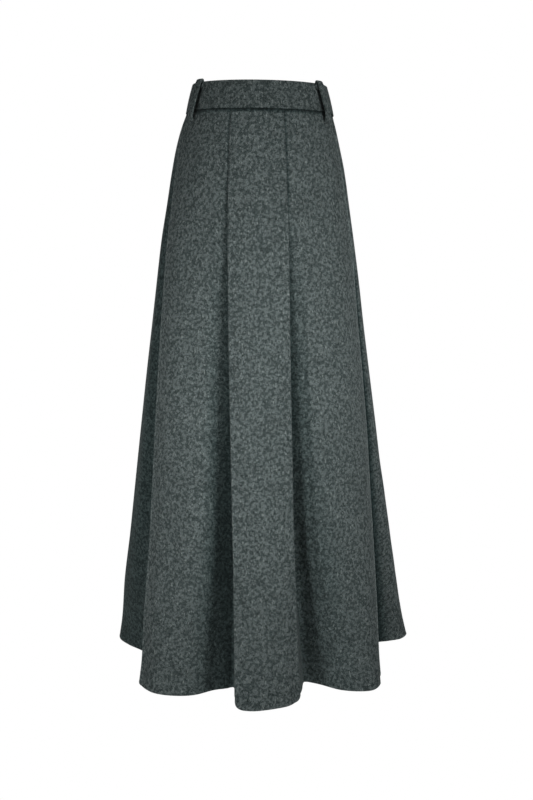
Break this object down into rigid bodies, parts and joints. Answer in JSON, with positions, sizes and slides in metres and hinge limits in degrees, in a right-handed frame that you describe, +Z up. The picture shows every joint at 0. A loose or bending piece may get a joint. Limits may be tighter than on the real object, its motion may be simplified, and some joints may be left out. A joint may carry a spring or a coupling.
{
  "type": "pleated midi skirt",
  "caption": "Pleated A-line midi skirt of heavy wool flannel in its worn form: contoured waistband with belt loops, pleats stitched down over the hips and open to a level hem, hollow inside",
  "frame": {"origin": "the middle of the waistband, at half its height, on the upright line through the waist", "axes": "+Z is up and along the length of the skirt, the front faces -Y, +X is to the right of someone looking at the front"},
  "size_m": [0.5005, 0.5383, 0.9288],
  "materials": {
    "wool": "dark grey melange wool flannel, matt, slightly felted, with short light fibres",
    "wool_band": "the same flannel, pressed firm over interfacing",
    "zip_tape": "fine woven tape, matt"
  },
  "bodies": {
    "root": {"skirt_front": "wool", "skirt_back_left": "wool", "skirt_back_right": "wool", "waistband": "wool_band", "belt_loop_front_left": "wool_band", "belt_loop_front_right": "wool_band", "belt_loop_back_left": "wool_band", "belt_loop_back_right": "wool_band", "back_zip": "zip_tape"}
  },
  "joints": []
}
